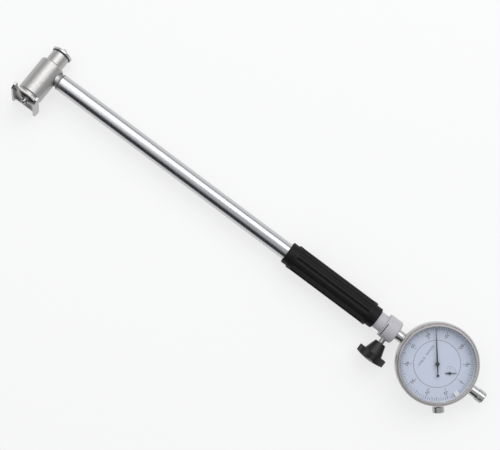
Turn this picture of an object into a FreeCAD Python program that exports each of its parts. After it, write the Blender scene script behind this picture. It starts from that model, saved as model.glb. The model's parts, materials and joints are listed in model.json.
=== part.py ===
import FreeCAD, Part
import math
import os
import Sketcher
from FreeCAD import Placement, Rotation, Vector

# Dial bore gauge. The row's +X runs along the stem from the head to the dial, +Z is the dial's
# face, and the origin is on the tube's axis at its head end. Head pieces are drawn about the
# measuring axis, with +Y towards the fixed anvil. Dial pieces are drawn about the dial's centre.

doc = FreeCAD.newDocument("dial_bore_gauge")

DIMENSIONS = [
    ("Placing", {
        "axis_gap": 12.0,          # tube's head end to the measuring axis
        "head_roll": 13.8,         # the anvil end points this far below the dial's plane
        "dial_centre": 331.7,      # tube's head end to the dial's centre
        "running_gap": 0.03,       # radial, for a shaft in its bush
        "end_gap": 0.02,           # between faces that only touch
        "thin_gap": 0.1,           # beside parts that turn or slide past each other
        "dome_flat": 0.35,         # radius of the small flat in the middle of a domed end
    }),
    ("Head body", {
        "body_radius": 9.3,
        "body_front": 20.7,        # towards the bridge, from the stem's axis
        "body_back": 6.6,          # towards the anvil
        "body_chamfer": 0.7,
        "sleeve_bore": 8.35,
        "chamber_front": 11.0,
        "chamber_back": 2.5,
        "chamber_radius": 6.5,
        "socket_shank": 4.0,
        "spotface_radius": 5.7,
        "spotface_level": 7.7,     # from the measuring axis
        "spigot_radius": 4.6,
    }),
    ("Centring bridge", {
        "bridge_inner": 22.8,
        "bridge_outer": 28.2,
        "bridge_floor": 1.1,
        "bridge_width": 10.0,      # half width, along the stem
        "bridge_rail": 1.6,
        "bridge_half": 17.6,       # half length, across the stem
        "bridge_open": 10.5,
        "bridge_web": 2.1,
        "bridge_corner": 2.6,
        "bridge_mouth": 8.1,
        "bridge_bore": 7.3,
        "bridge_sleeve": 8.3,
        "bridge_sleeve_end": 15.0,
        "bridge_coil": 7.5,
        "bridge_wire": 0.45,
        "bridge_turns": 2,
    }),
    ("Contact and crank", {
        "bush_front": 15.5,
        "bush_back": 8.0,
        "contact_radius": 2.0,
        "contact_end": 26.5,
        "contact_collar": 2.6,
        "contact_collar_length": 0.9,
        "contact_nose": 1.4,
        "tip_end": 29.3,
        "tip_radius": 1.0,
        "tip_base": 1.9,
        "arm": 4.5,                # crank arm, equal on both sides
        "crank_rest": 10.186,      # attitude at rest, in degrees before the middle
        "crank_round": 0.9,
        "crank_hub": 1.7,
        "crank_half_width": 0.55,
        "crank_thickness": 3.0,
        "pin_radius": 0.75,
        "pin_low": 8.1,
        "pin_high": 6.2,
    }),
    ("Anvil end", {
        "neck_radius": 6.7,
        "neck_end": 15.7,
        "socket_hole": 8.0,
        "anvil_thread": 2.5,
        "anvil_shank_start": 9.0,
        "seal_inner": 5.6,
        "seal_outer": 7.3,
        "seal_width": 0.6,
        "nut_radius": 7.6,
        "nut_width": 2.0,
        "nut_chamfer": 0.4,
        "hex_radius": 3.0,         # over the corners
        "hex_height": 1.3,
        "anvil_tip_radius": 1.1,
        "anvil_tip_end": 21.3,
    }),
    ("Stem", {
        "tube_radius": 6.2,
        "tube_bore": 5.3,
        "tube_length": 279.0,
        "collar_radius": 5.3,
        "collar_cone": 1.3,
        "collar_wide": 6.0,
        "collar_inside": 8.0,
        "collar_bore": 2.6,
        "stem_seal_width": 0.5,
        "stem_seal_inner": 5.2,
        "stem_seal_outer": 6.15,
        "rod_radius": 1.5,
        "rod_collar": 3.2,
        "rod_collar_start": 22.0,
        "rod_collar_width": 1.5,
        "front_bush_end": 4.0,
        "middle_bush_start": 43.5,
        "middle_bush_length": 5.0,
        "rear_bush_start": 235.0,
        "rear_bush_length": 6.0,
        "rod_coil": 3.6,
        "rod_wire": 0.5,
        "rod_turns": 6,
    }),
    ("Grip", {
        "grip_start": 200.5,
        "grip_front_radius": 8.35,
        "grip_front_length": 5.0,
        "grip_radius": 9.2,
        "grip_length": 68.6,
        "grip_rear_radius": 8.0,
        "grip_rear_length": 5.4,
        "grip_edge": 0.8,
        "flute_count": 12,
        "flute_radius": 2.2,
        "flute_depth": 0.85,
        "flute_land": 3.0,
    }),
    ("Clamp", {
        "clamp_spigot_start": 266.0,
        "clamp_neck_radius": 6.45,
        "clamp_shoulder": 286.6,
        "clamp_end": 297.1,
        "clamp_radius": 8.85,
        "clamp_round": 1.5,
        "clamp_seat": 280.0,
        "clamp_inner_bore": 3.0,
        "slit_start": 287.2,
        "slit_width": 0.7,
        "slit_edge": 2.0,
        "split_width": 1.0,
        "screw_place": 292.0,
        "screw_radius": 2.0,
        "cross_hole": 1.7,
        "pad_length": 1.4,
        "screw_end": 18.0,
    }),
    ("Star knob", {
        "knob_start": 12.0,
        "knob_hub": 4.2,
        "knob_cone": 7.0,
        "knob_flange": 20.7,
        "knob_radius": 11.35,
        "knob_rim_end": 25.6,
        "knob_end": 27.2,
        "knob_lobes": 6,
        "scallop_radius": 5.2,
        "scallop_centre": 13.4,
    }),
    ("Dial case", {
        "back_level": 11.65,       # the resting plane, below the stem's axis
        "cover_radius": 26.7,
        "cover_chamfer": 0.85,
        "cover_thickness": 1.95,
        "cover_spigot": 25.15,
        "cover_spigot_height": 0.8,
        "case_radius": 27.5,
        "case_bore": 25.2,
        "plate_low": 5.5,
        "plate_high": 6.7,
        "flange_low": 4.9,
        "flange_radius": 28.85,
        "post_radius": 2.2,
        "post_place": 22.6,
        "post_angle": 45.0,
        "cover_screw": 0.95,
        "cover_screw_head": 1.9,
        "cover_screw_cone": 0.95,
        "cover_screw_length": 7.0,
        "boss_radius": 2.6,
        "boss_end": 29.2,
    }),
    ("Dial stem and spindle", {
        "dial_stem_radius": 4.0,
        "dial_stem_end": 51.5,
        "dial_stem_start": 25.4,
        "spindle_radius": 2.0,
        "spindle_end": 65.4,
        "spindle_top": 31.0,
        "point_end": 72.1,
        "point_radius": 1.5,
        "point_collar": 2.3,
        "point_collar_length": 1.8,
        "guard_thread": 3.1,
        "guard_radius": 3.9,
        "guard_end": 36.4,
        "guard_spigot_end": 40.4,
        "guard_bore_end": 38.5,
        "cap_radius": 4.3,
        "cap_end": 42.4,
        "cap_edge": 0.5,
    }),
    ("Bezel and face", {
        "bezel_low": 4.2,
        "bezel_radius": 29.75,
        "bezel_lip": 28.2,
        "bezel_catch": 4.8,
        "bezel_seat": 6.8,
        "bezel_step": 11.4,
        "groove_level": 10.7,
        "groove_outer": 28.4,
        "groove_inner": 27.95,
        "bezel_top": 14.5,
        "bezel_window": 26.3,
        "bezel_wall": 27.35,
        "crystal_low": 12,
        "crystal_high": 13.2,
        "crystal_crown": 14.1,
        "scale_low": 6.9,
        "scale_high": 7.5,
        "scale_inner": 16.6,
        "disc_radius": 16.4,
        "marker_low": 8.4,
        "marker_high": 8.9,
        "marker_ring": 26.75,
        "marker_outer": 27.33,
        "marker_reach": 22.9,
        "marker_width": 3.3,
        "marker_place": 20.0,      # clockwise from zero
        "lock_place": 49.6,        # clockwise from zero
        "lock_level": -1.5,
        "lock_thread": 1.5,
        "lock_inner": 25.6,
        "lock_head_start": 31.2,
        "lock_head_end": 35.8,
        "lock_head_radius": 4.1,
        "lock_edge": 0.5,
    }),
    ("Hands", {
        "pointer_place": 231.0,    # clockwise from zero
        "pointer_long": 24.5,
        "pointer_tail": 9.2,
        "pointer_wide": 0.62,
        "pointer_narrow": 0.14,
        "pointer_dot": 1.0,
        "pointer_low": 9.5,
        "pointer_thickness": 0.2,
        "pointer_hub": 1.5,
        "pointer_hub_low": 9.1,
        "pointer_hub_high": 10.3,
        "arbor_radius": 0.6,
        "arbor_low": 3.2,
        "counter_centre": 10.9,
        "counter_place": 35.5,     # anticlockwise from zero
        "counter_long": 5.2,
        "counter_tail": 3.0,
        "counter_wide": 0.4,
        "counter_low": 8.3,
        "counter_thickness": 0.2,
        "counter_hub": 1.0,
        "counter_hub_low": 8,
        "counter_hub_high": 8.8,
        "counter_arbor": 0.45,
        "counter_arbor_low": 4.2,
    }),
]


class Size:
    """A size that carries its value and the sheet formula that gives it."""

    def __init__(self, value, formula):
        self.value = float(value)
        self.formula = formula

    @staticmethod
    def of(other):
        if isinstance(other, Size):
            return other
        return Size(other, repr(other))

    def joined(self, sign, other, value):
        return Size(value, f"({self.formula} {sign} {other.formula})")

    def __add__(self, other):
        other = Size.of(other)
        return self.joined("+", other, self.value + other.value)

    def __sub__(self, other):
        other = Size.of(other)
        return self.joined("-", other, self.value - other.value)

    def __mul__(self, other):
        other = Size.of(other)
        return self.joined("*", other, self.value * other.value)

    def __truediv__(self, other):
        other = Size.of(other)
        return self.joined("/", other, self.value / other.value)

    def __neg__(self):
        return Size(-self.value, f"(0 - {self.formula})")


class Dimensions:
    """The document's sheet: one row for each size, read back by name."""

    def __init__(self):
        self.sheet = doc.addObject("Spreadsheet::Sheet", "Dimensions")
        row = 1
        for section, sizes in DIMENSIONS:
            self.sheet.set(f"A{row}", section)
            row += 1
            for name, value in sizes.items():
                self.sheet.set(f"A{row}", name)
                self.sheet.set(f"B{row}", str(value))
                self.sheet.setAlias(f"B{row}", name)
                setattr(self, name, Size(value, f"Dimensions.{name}"))
                row += 1


dim = Dimensions()
doc.recompute()


# ---- building blocks -------------------------------------------------------------------------

def new_body(label):
    body = doc.addObject("PartDesign::Body", label)
    body.Label = label
    return body


def origin_feature(body, role):
    for feature in body.Origin.OriginFeatures:
        if feature.Role == role:
            return feature
    raise ValueError(f"{body.Label} has no {role}")


def new_sketch(body, name, plane, offset=None, swing=None, along=None):
    """A sketch on an origin plane: raised by offset, or moved along, and swung about its Y."""
    sketch = body.newObject("Sketcher::SketchObject", name)
    sketch.AttachmentSupport = (origin_feature(body, plane), [""])
    sketch.MapMode = "FlatFace"
    if along is not None:
        turn = Rotation(Vector(0, -1, 0), swing.value)
        sketch.AttachmentOffset = Placement(turn.multVec(Vector(along.value, 0, 0)), turn)
        sketch.setExpression("AttachmentOffset.Rotation.Angle", swing.formula)
        sketch.setExpression("AttachmentOffset.Base.x", f"{along.formula} * cos({swing.formula})")
        sketch.setExpression("AttachmentOffset.Base.z", f"{along.formula} * sin({swing.formula})")
        return sketch
    if offset is None:
        return sketch
    if swing is None:
        sketch.AttachmentOffset = Placement(Vector(0, 0, offset.value), Rotation())
        sketch.setExpression("AttachmentOffset.Base.z", offset.formula)
        return sketch
    turn = Rotation(Vector(0, -1, 0), swing.value)
    sketch.AttachmentOffset = Placement(turn.multVec(Vector(0, 0, offset.value)), turn)
    sketch.setExpression("AttachmentOffset.Rotation.Angle", swing.formula)
    side = f"0 - {offset.formula} * sin({swing.formula})"
    sketch.setExpression("AttachmentOffset.Base.x", side)
    sketch.setExpression("AttachmentOffset.Base.z", f"{offset.formula} * cos({swing.formula})")
    return sketch


def pin_point(sketch, edge, end, x, y):
    """Hold one sketch point at (x, y) from the sketch's origin."""
    for kind, size in (("DistanceX", x), ("DistanceY", y)):
        size = Size.of(size)
        index = sketch.addConstraint(Sketcher.Constraint(kind, -1, 1, edge, end, size.value))
        if "Dimensions" in size.formula:
            sketch.setExpression(f"Constraints[{index}]", size.formula)


def arc_middle(start, end, radius):
    """The middle of the short arc of this radius; a negative radius bends the other way."""
    chord = end - start
    half = chord.Length / 2
    rise = abs(radius) - math.sqrt(radius * radius - half * half)
    side = Vector(chord.y, -chord.x, 0).normalize() * math.copysign(rise, radius)
    return (start + end) / 2 + side


def outline(body, name, plane, points, **place):
    """A closed outline. A third value on a point makes the edge that reaches it an arc."""
    sketch = new_sketch(body, name, plane, **place)
    places = [Vector(Size.of(p[0]).value, Size.of(p[1]).value, 0) for p in points]
    ends = []
    for index, point in enumerate(points):
        start = places[index - 1]
        end = places[index]
        if len(point) == 2:
            edge = sketch.addGeometry(Part.LineSegment(start, end))
            ends.append((edge, 1, 2))
            continue
        radius = Size.of(point[2])
        edge = sketch.addGeometry(Part.Arc(start, arc_middle(start, end, radius.value), end))
        swapped = sketch.getPoint(edge, 1).distanceToPoint(start) > 1e-6
        ends.append((edge, 2, 1) if swapped else (edge, 1, 2))
    for index, point in enumerate(points):
        edge, _, last = ends[index]
        follower, first, _ = ends[(index + 1) % len(points)]
        sketch.addConstraint(Sketcher.Constraint("Coincident", edge, last, follower, first))
        pin_point(sketch, edge, last, point[0], point[1])
        if len(point) == 3:
            size = Size.of(point[2])
            radius = sketch.addConstraint(Sketcher.Constraint("Radius", edge, abs(size.value)))
            formula = size.formula if size.value > 0 else (-size).formula
            if "Dimensions" in formula:
                sketch.setExpression(f"Constraints[{radius}]", formula)
    return sketch


def circles(body, name, plane, discs, **place):
    """A sketch of circles, each given as (x, y, radius)."""
    sketch = new_sketch(body, name, plane, **place)
    for x, y, radius in discs:
        centre = Vector(Size.of(x).value, Size.of(y).value, 0)
        edge = sketch.addGeometry(Part.Circle(centre, Vector(0, 0, 1), radius.value))
        pin_point(sketch, edge, 3, x, y)
        index = sketch.addConstraint(Sketcher.Constraint("Radius", edge, radius.value))
        sketch.setExpression(f"Constraints[{index}]", radius.formula)
    return sketch


def revolve(body, name, sketch, axis):
    feature = body.newObject("PartDesign::Revolution", name)
    feature.Profile = sketch
    feature.ReferenceAxis = (sketch, [axis])
    feature.Angle = 360
    doc.recompute()
    return feature


def pad(body, name, sketch, length, middle=False, backwards=False):
    feature = body.newObject("PartDesign::Pad", name)
    feature.Profile = sketch
    feature.Length = length.value
    feature.setExpression("Length", length.formula)
    feature.Midplane = middle
    feature.Reversed = backwards
    doc.recompute()
    return feature


def must_shrink(body, before, name):
    doc.recompute()
    if body.Shape.Volume >= before - 1e-6:
        raise ValueError(f"{body.Label}: {name} cuts nothing")


def groove(body, name, sketch, axis):
    before = body.Shape.Volume
    feature = body.newObject("PartDesign::Groove", name)
    feature.Profile = sketch
    feature.ReferenceAxis = (sketch, [axis])
    feature.Angle = 360
    must_shrink(body, before, name)
    return feature


def pocket(body, name, sketch, length=None, forwards=False, middle=False):
    """Cut away from the sketch's normal, or along it when forwards; no length cuts through."""
    before = body.Shape.Volume
    feature = body.newObject("PartDesign::Pocket", name)
    feature.Profile = sketch
    feature.Reversed = forwards
    feature.Midplane = middle
    if length is None:
        feature.Type = 1
    else:
        feature.Length = length.value
        feature.setExpression("Length", length.formula)
    must_shrink(body, before, name)
    return feature


def repeat_round(body, name, feature, axis, count):
    pattern = body.newObject("PartDesign::PolarPattern", name)
    pattern.Originals = [feature]
    pattern.Axis = (origin_feature(body, axis), [""])
    pattern.Angle = 360
    pattern.Occurrences = int(count.value)
    pattern.setExpression("Occurrences", count.formula)
    body.Tip = pattern
    doc.recompute()
    return pattern


def about_stem(label, points):
    """A piece turned about the stem's axis, drawn as (along, radius)."""
    body = new_body(label)
    revolve(body, "Turned", outline(body, "Profile", "XY_Plane", points), "H_Axis")
    return body


def about_measuring_axis(label, points):
    """A piece turned about the measuring axis, drawn as (radius, along)."""
    body = new_body(label)
    revolve(body, "Turned", outline(body, "Profile", "XY_Plane", points), "V_Axis")
    return put_in_head(body)


def about_dial_axis(label, points):
    """A piece turned about the dial's axis, drawn as (radius, height)."""
    body = new_body(label)
    revolve(body, "Turned", outline(body, "Profile", "XZ_Plane", points), "V_Axis")
    return put_in_dial(body)


def put_in_head(body):
    body.Placement = Placement(Vector(-dim.axis_gap.value, 0, 0),
                               Rotation(Vector(-1, 0, 0), dim.head_roll.value))
    body.setExpression("Placement.Base.x", (-dim.axis_gap).formula)
    body.setExpression("Placement.Rotation.Angle", dim.head_roll.formula)
    return body


def put_in_dial(body, along=None, clockwise=None):
    """Place a piece at the dial's centre or along its zero line, turned clockwise."""
    place = dim.dial_centre if along is None else dim.dial_centre + along
    angle = Size.of(0) if clockwise is None else clockwise
    body.Placement = Placement(Vector(place.value, 0, 0), Rotation(Vector(0, 0, -1), angle.value))
    body.setExpression("Placement.Base.x", place.formula)
    if clockwise is not None:
        body.setExpression("Placement.Rotation.Angle", clockwise.formula)
    return body


def ring_profile(inner, outer, low, high):
    """The section of a plain ring, for pieces drawn as (radius, along)."""
    return [(inner, low), (outer, low), (outer, high), (inner, high)]


def bush_profile(start, end, inner, outer):
    """The section of a plain bush, for pieces drawn as (along, radius)."""
    return [(start, inner), (end, inner), (end, outer), (start, outer)]


# ---- head ------------------------------------------------------------------------------------

def head_body():
    """Turned housing: sleeve bore in front, crank chamber behind and a seat for the stem."""
    chamfer = dim.body_chamfer
    body = about_measuring_axis("head_body", [
        (dim.chamber_radius, -dim.chamber_front),
        (dim.sleeve_bore, -dim.chamber_front),
        (dim.sleeve_bore, -dim.body_front),
        (dim.body_radius - chamfer, -dim.body_front),
        (dim.body_radius, -dim.body_front + chamfer),
        (dim.body_radius, dim.body_back - chamfer),
        (dim.body_radius - chamfer, dim.body_back),
        (dim.socket_shank, dim.body_back),
        (dim.socket_shank, dim.chamber_back),
        (dim.chamber_radius, dim.chamber_back),
    ])
    side = circles(body, "StemHole", "YZ_Plane", [(0, 0, dim.spigot_radius)])
    pocket(body, "StemSocket", side, forwards=True)
    face = circles(body, "SpotfaceCircle", "YZ_Plane", [(0, 0, dim.spotface_radius)],
                   offset=dim.spotface_level)
    pocket(body, "Spotface", face, forwards=True)
    hole = circles(body, "PinCircle", "XY_Plane", [(dim.arm, -dim.arm, dim.pin_radius)],
                   offset=dim.pin_high)
    pocket(body, "PinHole", hole)
    return body


def rectangle(x_low, x_high, y_low, y_high):
    return [(x_low, y_low), (x_high, y_low), (x_high, y_high), (x_low, y_high)]


def guide_bridge():
    """Centring bridge: a floor between two long rails, closed by a web at one end."""
    body = new_body("guide_bridge")
    width = dim.bridge_width
    half = dim.bridge_half
    depth = dim.bridge_outer - dim.bridge_inner
    corner = dim.bridge_corner
    rail = [
        (-dim.bridge_inner, -half),
        (-dim.bridge_inner, half),
        (-dim.bridge_outer + corner, half),
        (-dim.bridge_outer, half - corner),
        (-dim.bridge_outer, -half + corner),
        (-dim.bridge_outer + corner, -half),
    ]
    floor = outline(body, "FloorOutline", "XZ_Plane",
                    rectangle(-width, width, -half, dim.bridge_open), offset=dim.bridge_inner)
    pad(body, "Floor", floor, dim.bridge_floor)
    for name, start in (("RightRail", width - dim.bridge_rail), ("LeftRail", -width)):
        side = outline(body, name + "Outline", "YZ_Plane", rail, offset=start)
        pad(body, name, side, dim.bridge_rail)
    web = outline(body, "WebOutline", "YZ_Plane", [
        (-dim.bridge_inner, -half),
        (-dim.bridge_inner, -half + dim.bridge_web),
        (-dim.bridge_outer + corner, -half + dim.bridge_web),
        (-dim.bridge_outer + corner, -half),
    ], offset=-width)
    pad(body, "Web", web, width * 2)
    sleeve = outline(body, "SleeveSection", "XY_Plane", [
        (dim.bridge_bore, -dim.bridge_inner - 0.2),
        (dim.bridge_sleeve, -dim.bridge_inner - 0.2),
        (dim.bridge_sleeve, -dim.bridge_sleeve_end),
        (dim.bridge_bore, -dim.bridge_sleeve_end),
    ])
    revolve(body, "Sleeve", sleeve, "V_Axis")
    mouth = outline(body, "MouthSection", "XY_Plane", [
        (0, -dim.bridge_inner - dim.bridge_floor),
        (dim.bridge_mouth, -dim.bridge_inner - dim.bridge_floor),
        (dim.bridge_bore, -dim.bridge_inner),
        (0, -dim.bridge_inner),
    ])
    groove(body, "Mouth", mouth, "V_Axis")
    return put_in_head(body)


def contact_bush():
    bore = dim.contact_radius + dim.running_gap
    return about_measuring_axis("contact_bush", ring_profile(bore, dim.chamber_radius,
                                                             -dim.bush_front, -dim.bush_back))


def movable_contact():
    """Sliding contact with a collar that stops on its bush and a nose for the crank."""
    inner_end = crank_touch()
    collar = -dim.bush_back + dim.end_gap
    return about_measuring_axis("movable_contact", [
        (0, -dim.contact_end),
        (dim.contact_radius, -dim.contact_end),
        (dim.contact_radius, collar),
        (dim.contact_collar, collar),
        (dim.contact_collar, collar + dim.contact_collar_length),
        (dim.contact_nose, collar + dim.contact_collar_length),
        (dim.contact_nose, inner_end),
        (0, inner_end),
    ])


def crank_touch():
    """Height of the contact's inner end: just under the crank's round end at rest."""
    dip = Size(math.sin(math.radians(dim.crank_rest.value)), f"sin({dim.crank_rest.formula})")
    return -dim.arm - dim.arm * dip - dim.crank_round - dim.end_gap


def rod_touch():
    """Place of the push rod's head end: just beyond the crank's other round end at rest."""
    dip = Size(math.sin(math.radians(dim.crank_rest.value)), f"sin({dim.crank_rest.formula})")
    return dim.arm - dim.arm * dip + dim.crank_round + dim.end_gap - dim.axis_gap


def contact_tip():
    """Hard tip of the sliding contact, tapered and domed."""
    return about_measuring_axis("contact_tip", [
        (0, -dim.tip_end),
        (dim.dome_flat, -dim.tip_end),
        (dim.tip_radius, -dim.tip_end + 0.4, -dim.tip_radius * 1.5),
        (dim.tip_base, -dim.contact_end - 0.9),
        (dim.tip_base, -dim.contact_end),
        (0, -dim.contact_end),
    ])


def bell_crank():
    """Equal-arm crank: one round end meets the contact, the other the push rod."""
    body = new_body("bell_crank")
    hub = circles(body, "HubCircles", "XY_Plane", [
        (0, 0, dim.crank_hub),
        (0, 0, dim.pin_radius + dim.running_gap),
    ])
    pad(body, "Hub", hub, dim.crank_thickness, middle=True)
    start = dim.pin_radius + dim.running_gap + 0.2
    half = dim.crank_half_width
    arm_a = outline(body, "ContactArmOutline", "XY_Plane", [
        (-start, -half), (-start, half), (-dim.arm, half), (-dim.arm, -half)])
    pad(body, "ContactArm", arm_a, dim.crank_thickness, middle=True)
    arm_b = outline(body, "RodArmOutline", "XY_Plane", [
        (-half, start), (half, start), (half, dim.arm), (-half, dim.arm)])
    pad(body, "RodArm", arm_b, dim.crank_thickness, middle=True)
    for name, x, y in (("ContactEnd", -dim.arm, 0), ("RodEnd", 0, dim.arm)):
        end = circles(body, name + "Circle", "XY_Plane", [(x, y, dim.crank_round)])
        pad(body, name, end, dim.crank_thickness, middle=True)
    roll = Rotation(Vector(-1, 0, 0), dim.head_roll.value)
    pivot = roll.multVec(Vector(dim.arm.value, -dim.arm.value, 0))
    rest = Rotation(Vector(0, 0, 1), dim.crank_rest.value)
    body.Placement = Placement(pivot - Vector(dim.axis_gap.value, 0, 0), roll.multiply(rest))
    return body


def crank_pin():
    body = new_body("crank_pin")
    circle = circles(body, "PinCircle", "XY_Plane", [(dim.arm, -dim.arm, dim.pin_radius)],
                     offset=-dim.pin_low)
    pad(body, "Pin", circle, dim.pin_low + dim.pin_high)
    return put_in_head(body)


def anvil_socket():
    """Shouldered socket for the exchangeable anvil."""
    shank_end = dim.chamber_back + 0.5
    return about_measuring_axis("anvil_socket", [
        (0, shank_end),
        (dim.socket_shank, shank_end),
        (dim.socket_shank, dim.body_back),
        (dim.neck_radius, dim.body_back),
        (dim.neck_radius, dim.neck_end),
        (dim.anvil_thread, dim.neck_end),
        (dim.anvil_thread, dim.socket_hole),
        (0, dim.socket_hole),
    ])


def anvil_seal():
    return about_measuring_axis("anvil_seal", ring_profile(
        dim.seal_inner, dim.seal_outer, dim.neck_end, dim.neck_end + dim.seal_width))


def anvil_lock_nut():
    low = dim.neck_end + dim.seal_width
    high = low + dim.nut_width
    edge = dim.nut_chamfer
    return about_measuring_axis("anvil_lock_nut", [
        (dim.anvil_thread, low),
        (dim.nut_radius - edge, low),
        (dim.nut_radius, low + edge),
        (dim.nut_radius, high - edge),
        (dim.nut_radius - edge, high),
        (dim.anvil_thread, high),
    ])


def fixed_anvil():
    """Exchangeable anvil: threaded shank, hexagon and a tapered end."""
    base = dim.neck_end + dim.seal_width + dim.nut_width
    top = base + dim.hex_height
    body = about_measuring_axis("fixed_anvil", [
        (0, dim.anvil_shank_start),
        (dim.anvil_thread, dim.anvil_shank_start),
        (dim.anvil_thread, top),
        (dim.anvil_tip_radius, dim.anvil_tip_end - 0.3),
        (dim.dome_flat, dim.anvil_tip_end, -dim.anvil_tip_radius * 2),
        (0, dim.anvil_tip_end),
    ])
    corners = []
    for index in range(6):
        angle = math.radians(60 * index)
        corners.append((dim.hex_radius * round(math.cos(angle), 6),
                        dim.hex_radius * round(math.sin(angle), 6)))
    hexagon = outline(body, "Hexagon", "XZ_Plane", corners, offset=-base)
    pad(body, "Hex", hexagon, dim.hex_height, backwards=True)
    return body


# ---- stem ------------------------------------------------------------------------------------

def stem_collar():
    """Collar between the head and the tube; it is hollow for the rod's front bush."""
    seat = dim.spotface_level - dim.axis_gap
    inside = dim.chamber_radius - dim.axis_gap + 0.2
    cone_start = -dim.stem_seal_width - dim.collar_cone
    return about_stem("stem_collar", [
        (inside, dim.collar_bore),
        (dim.collar_inside, dim.collar_bore),
        (dim.collar_inside, dim.tube_bore),
        (0, dim.tube_bore),
        (0, dim.stem_seal_inner),
        (-dim.stem_seal_width, dim.stem_seal_inner),
        (-dim.stem_seal_width, dim.collar_wide),
        (cone_start, dim.collar_radius),
        (seat, dim.collar_radius),
        (seat, dim.spigot_radius),
        (inside, dim.spigot_radius),
    ])


def stem_seal():
    return about_stem("stem_seal", bush_profile(-dim.stem_seal_width, 0,
                                                dim.stem_seal_inner, dim.stem_seal_outer))


def stem_tube():
    return about_stem("stem_tube", bush_profile(0, dim.tube_length, dim.tube_bore,
                                                dim.tube_radius))


def rod_bush(label, start, end, outer):
    bore = dim.rod_radius + dim.running_gap
    return about_stem(label, bush_profile(start, end, bore, outer))


def push_rod():
    """Rod that carries the crank's travel to the dial, with a collar for its spring."""
    start = rod_touch()
    nose_end = start + 1.5
    collar_end = dim.rod_collar_start + dim.rod_collar_width
    end = dim.dial_centre - dim.point_end - dim.end_gap
    return about_stem("push_rod", [
        (start, 0),
        (end, 0),
        (end, dim.rod_radius),
        (collar_end, dim.rod_radius),
        (collar_end, dim.rod_collar),
        (dim.rod_collar_start, dim.rod_collar),
        (dim.rod_collar_start, dim.rod_radius),
        (nose_end, dim.rod_radius),
        (nose_end, dim.contact_nose),
        (start, dim.contact_nose),
    ])


def coil_spring(label, coil, wire, length, turns):
    """A coil about Z as a faceted solid, with its wire's centre line from 0 to length."""
    steps = int(round(turns.value * 12))
    rings = []
    for step in range(steps + 1):
        around = Rotation(Vector(0, 0, 1), 30 * step)
        rise = length.value * step / steps
        ring = []
        for side in range(4):
            angle = math.radians(45 + 90 * side)
            out = coil.value + wire.value * math.cos(angle)
            ring.append(around.multVec(Vector(out, 0, rise + wire.value * math.sin(angle))))
        rings.append(ring)
    faces = [Part.Face(Part.makePolygon(rings[0] + [rings[0][0]]))]
    faces.append(Part.Face(Part.makePolygon(rings[-1] + [rings[-1][0]])))
    for low, high in zip(rings, rings[1:]):
        for side in range(4):
            follower = (side + 1) % 4
            for corners in ((low[side], low[follower], high[follower]),
                            (low[side], high[follower], high[side])):
                faces.append(Part.Face(Part.makePolygon(list(corners) + [corners[0]])))
    solid = Part.Solid(Part.Shell(faces))
    if solid.Volume < 0:
        solid.reverse()
    spring = doc.addObject("Part::Feature", label)
    spring.Label = label
    spring.Shape = solid
    return spring


def bridge_spring():
    low = -dim.bridge_sleeve_end + dim.bridge_wire + dim.end_gap
    high = -dim.chamber_front - dim.bridge_wire - dim.end_gap
    spring = coil_spring("bridge_spring", dim.bridge_coil, dim.bridge_wire, high - low,
                         dim.bridge_turns)
    roll = Rotation(Vector(-1, 0, 0), dim.head_roll.value)
    start = roll.multVec(Vector(0, low.value, 0)) - Vector(dim.axis_gap.value, 0, 0)
    along = roll.multiply(Rotation(Vector(1, 0, 0), -90))
    spring.Placement = Placement(start, along)
    return spring


def rod_spring():
    low = dim.rod_collar_start + dim.rod_collar_width + dim.rod_wire + dim.end_gap
    high = dim.middle_bush_start - dim.rod_wire - dim.end_gap
    spring = coil_spring("rod_spring", dim.rod_coil, dim.rod_wire, high - low, dim.rod_turns)
    spring.Placement = Placement(Vector(low.value, 0, 0), Rotation(Vector(0, 1, 0), 90))
    return spring


def grip_sleeve():
    """Insulating grip: a plain collar at each end and broad flutes along the middle."""
    edge = dim.grip_edge
    front = dim.grip_start + dim.grip_front_length
    rear = front + dim.grip_length
    end = rear + dim.grip_rear_length
    body = about_stem("grip_sleeve", [
        (dim.grip_start, dim.tube_radius),
        (end, dim.tube_radius),
        (end, dim.grip_rear_radius - edge),
        (end - edge, dim.grip_rear_radius, edge),
        (rear, dim.grip_rear_radius),
        (rear, dim.grip_radius),
        (front, dim.grip_radius),
        (front, dim.grip_front_radius),
        (dim.grip_start + edge, dim.grip_front_radius),
        (dim.grip_start, dim.grip_front_radius - edge, edge),
    ])
    centre = dim.grip_radius + dim.flute_radius - dim.flute_depth
    flute = circles(body, "FluteCircle", "YZ_Plane", [(0, centre, dim.flute_radius)],
                    offset=front + dim.flute_land)
    cut = pocket(body, "Flute", flute, length=dim.grip_length - dim.flute_land * 2, forwards=True)
    repeat_round(body, "Flutes", cut, "X_Axis", dim.flute_count)
    return body


# ---- clamp -----------------------------------------------------------------------------------

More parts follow.
